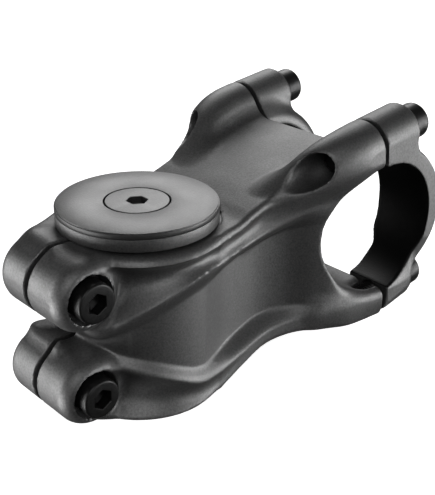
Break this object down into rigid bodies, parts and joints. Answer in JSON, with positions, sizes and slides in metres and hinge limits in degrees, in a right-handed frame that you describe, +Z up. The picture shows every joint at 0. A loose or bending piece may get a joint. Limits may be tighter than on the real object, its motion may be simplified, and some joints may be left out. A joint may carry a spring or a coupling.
{
  "type": "handlebar stem",
  "caption": "Short forged bicycle stem: a split rear clamp with a flat cap, a waisted neck, and two separate front bands that hold the handlebar.",
  "frame": {"origin": "on the steerer's axis, in the lower face of the rear clamp", "axes": "+X forward to the handlebar, +Y to the rider's left, +Z up along the steerer"},
  "size_m": [0.1001, 0.0522, 0.0558],
  "materials": {
    "body_alloy": "satin shot-peened black anodised",
    "cap_alloy": "satin black anodised",
    "black_steel": "black oxide"
  },
  "bodies": {
    "stem": {"stem_body": "body_alloy"},
    "spacer": {"spacer_ring": "body_alloy"},
    "cap": {"top_cap": "cap_alloy"},
    "cap_bolt": {"top_cap_bolt": "cap_alloy"},
    "clamp_left": {"bar_clamp_left": "body_alloy"},
    "washer_upper_left": {"clamp_washer_upper_left": "black_steel"},
    "bolt_upper_left": {"clamp_bolt_upper_left": "black_steel"},
    "washer_lower_left": {"clamp_washer_lower_left": "black_steel"},
    "bolt_lower_left": {"clamp_bolt_lower_left": "black_steel"},
    "clamp_right": {"bar_clamp_right": "body_alloy"},
    "washer_upper_right": {"clamp_washer_upper_right": "black_steel"},
    "bolt_upper_right": {"clamp_bolt_upper_right": "black_steel"},
    "washer_lower_right": {"clamp_washer_lower_right": "black_steel"},
    "bolt_lower_right": {"clamp_bolt_lower_right": "black_steel"},
    "pinch_washer_upper": {"pinch_washer_upper": "black_steel"},
    "pinch_bolt_upper": {"pinch_bolt_upper": "black_steel"},
    "pinch_washer_lower": {"pinch_washer_lower": "black_steel"},
    "pinch_bolt_lower": {"pinch_bolt_lower": "black_steel"}
  },
  "joints": [
    {"name": "spacer_lift", "type": "slide", "parent": "stem", "child": "spacer", "axis": [0, 0, 1], "range_m": [0, 0.04]},
    {"name": "cap_rise", "type": "slide", "parent": "spacer", "child": "cap", "axis": [0, 0, 1], "range_m": [0, 0.014]},
    {"name": "cap_bolt_turn", "type": "hinge", "parent": "cap", "child": "cap_bolt", "pos_m": [0, 0, 0.0422], "axis": [0, 0, 1], "range_deg": [0, 5045]},
    {"name": "clamp_left_off", "type": "slide", "parent": "stem", "child": "clamp_left", "axis": [0.9921, 0, 0.1253], "range_m": [0, 0.03]},
    {"name": "bolt_upper_left_rise", "type": "slide", "parent": "clamp_left", "child": "washer_upper_left", "axis": [0.9921, 0, 0.1253], "range_m": [0, 0.0112]},
    {"name": "bolt_upper_left_turn", "type": "hinge", "parent": "washer_upper_left", "child": "bolt_upper_left", "pos_m": [0.06437, 0.02006, 0.05018], "axis": [0.9921, 0, 0.1253], "range_deg": [0, 5045]},
    {"name": "bolt_lower_left_rise", "type": "slide", "parent": "clamp_left", "child": "washer_lower_left", "axis": [0.9921, 0, 0.1253], "range_m": [0, 0.0088]},
    {"name": "bolt_lower_left_turn", "type": "hinge", "parent": "washer_lower_left", "child": "bolt_lower_left", "pos_m": [0.06925, 0.0204, 0.01153], "axis": [0.9921, 0, 0.1253], "range_deg": [0, 3965]},
    {"name": "clamp_right_off", "type": "slide", "parent": "stem", "child": "clamp_right", "axis": [0.9921, 0, 0.1253], "range_m": [0, 0.03]},
    {"name": "bolt_upper_right_rise", "type": "slide", "parent": "clamp_right", "child": "washer_upper_right", "axis": [0.9921, 0, 0.1253], "range_m": [0, 0.0112]},
    {"name": "bolt_upper_right_turn", "type": "hinge", "parent": "washer_upper_right", "child": "bolt_upper_right", "pos_m": [0.06437, -0.02006, 0.05018], "axis": [0.9921, 0, 0.1253], "range_deg": [0, 5045]},
    {"name": "bolt_lower_right_rise", "type": "slide", "parent": "clamp_right", "child": "washer_lower_right", "axis": [0.9921, 0, 0.1253], "range_m": [0, 0.0088]},
    {"name": "bolt_lower_right_turn", "type": "hinge", "parent": "washer_lower_right", "child": "bolt_lower_right", "pos_m": [0.06925, -0.0204, 0.01153], "axis": [0.9921, 0, 0.1253], "range_deg": [0, 3965]},
    {"name": "pinch_bolt_upper_rise", "type": "slide", "parent": "stem", "child": "pinch_washer_upper", "axis": [0, -1, 0], "range_m": [0, 0.0072]},
    {"name": "pinch_bolt_upper_turn", "type": "hinge", "parent": "pinch_washer_upper", "child": "pinch_bolt_upper", "pos_m": [-0.0205, -0.01, 0.0304], "axis": [0, -1, 0], "range_deg": [0, 3245]},
    {"name": "pinch_bolt_lower_rise", "type": "slide", "parent": "stem", "child": "pinch_washer_lower", "axis": [0, -1, 0], "range_m": [0, 0.0072]},
    {"name": "pinch_bolt_lower_turn", "type": "hinge", "parent": "pinch_washer_lower", "child": "pinch_bolt_lower", "pos_m": [-0.0205, -0.01, 0.0086], "axis": [0, -1, 0], "range_deg": [0, 3245]}
  ],
  "couplings": [
    {"joint": "cap_bolt_turn", "follows": "cap_rise", "rad_per_m": 6283.2},
    {"joint": "bolt_upper_left_turn", "follows": "bolt_upper_left_rise", "rad_per_m": 7854},
    {"joint": "bolt_lower_left_turn", "follows": "bolt_lower_left_rise", "rad_per_m": 7854},
    {"joint": "bolt_upper_right_turn", "follows": "bolt_upper_right_rise", "rad_per_m": 7854},
    {"joint": "bolt_lower_right_turn", "follows": "bolt_lower_right_rise", "rad_per_m": 7854},
    {"joint": "pinch_bolt_upper_turn", "follows": "pinch_bolt_upper_rise", "rad_per_m": 7854},
    {"joint": "pinch_bolt_lower_turn", "follows": "pinch_bolt_lower_rise", "rad_per_m": 7854}
  ]
}
